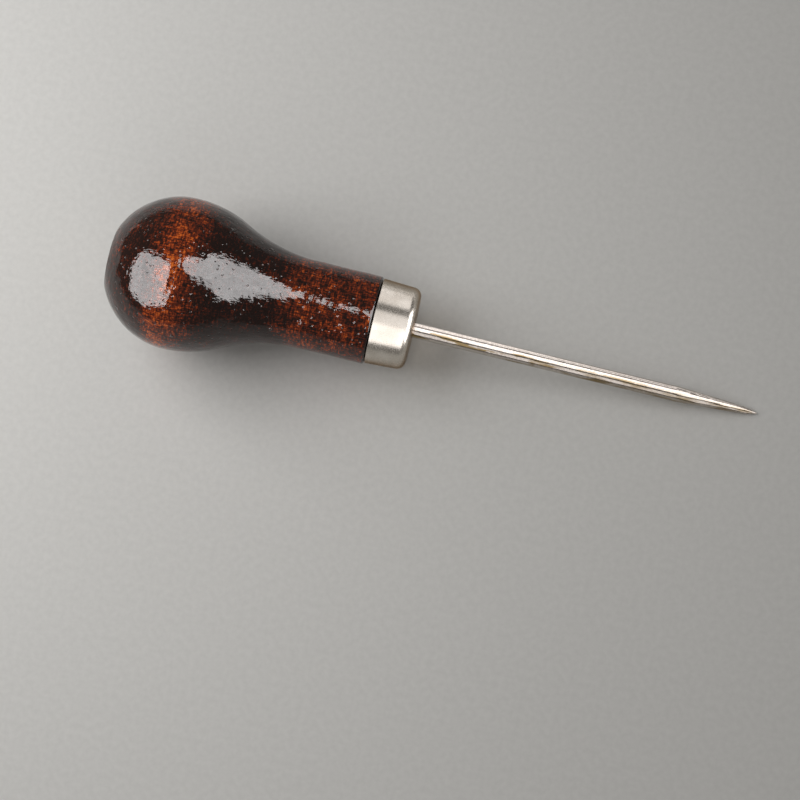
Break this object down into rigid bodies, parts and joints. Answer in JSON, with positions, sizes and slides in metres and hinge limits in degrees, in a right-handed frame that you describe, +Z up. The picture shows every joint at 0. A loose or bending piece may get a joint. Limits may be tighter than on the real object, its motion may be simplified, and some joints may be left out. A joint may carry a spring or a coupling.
{
  "type": "scratch awl",
  "caption": "Scratch awl with a turned gourd-shaped wooden handle, a nickel-plated ferrule and a slim round steel needle ground to a long conical point.",
  "frame": {"origin": "on the ground, under the middle of the awl's bounding box", "axes": "+Z up. The awl lies nose down with its bulb and its point both on the ground. +X is towards the needle's tip, and the XZ plane holds the awl's axis"},
  "size_m": [0.1292, 0.0302, 0.0302],
  "materials": {
    "varnished_wood": "dark red-brown stain under glossy, slightly uneven varnish",
    "nickel_plate": "satin nickel plating on drawn sheet metal",
    "steel": "drawn wire with fine lengthwise polishing marks and a ground point",
    "glue": "hardened amber glue"
  },
  "bodies": {
    "root": {"handle": "varnished_wood", "ferrule": "nickel_plate", "needle": "steel", "tang_glue": "glue"}
  },
  "joints": []
}
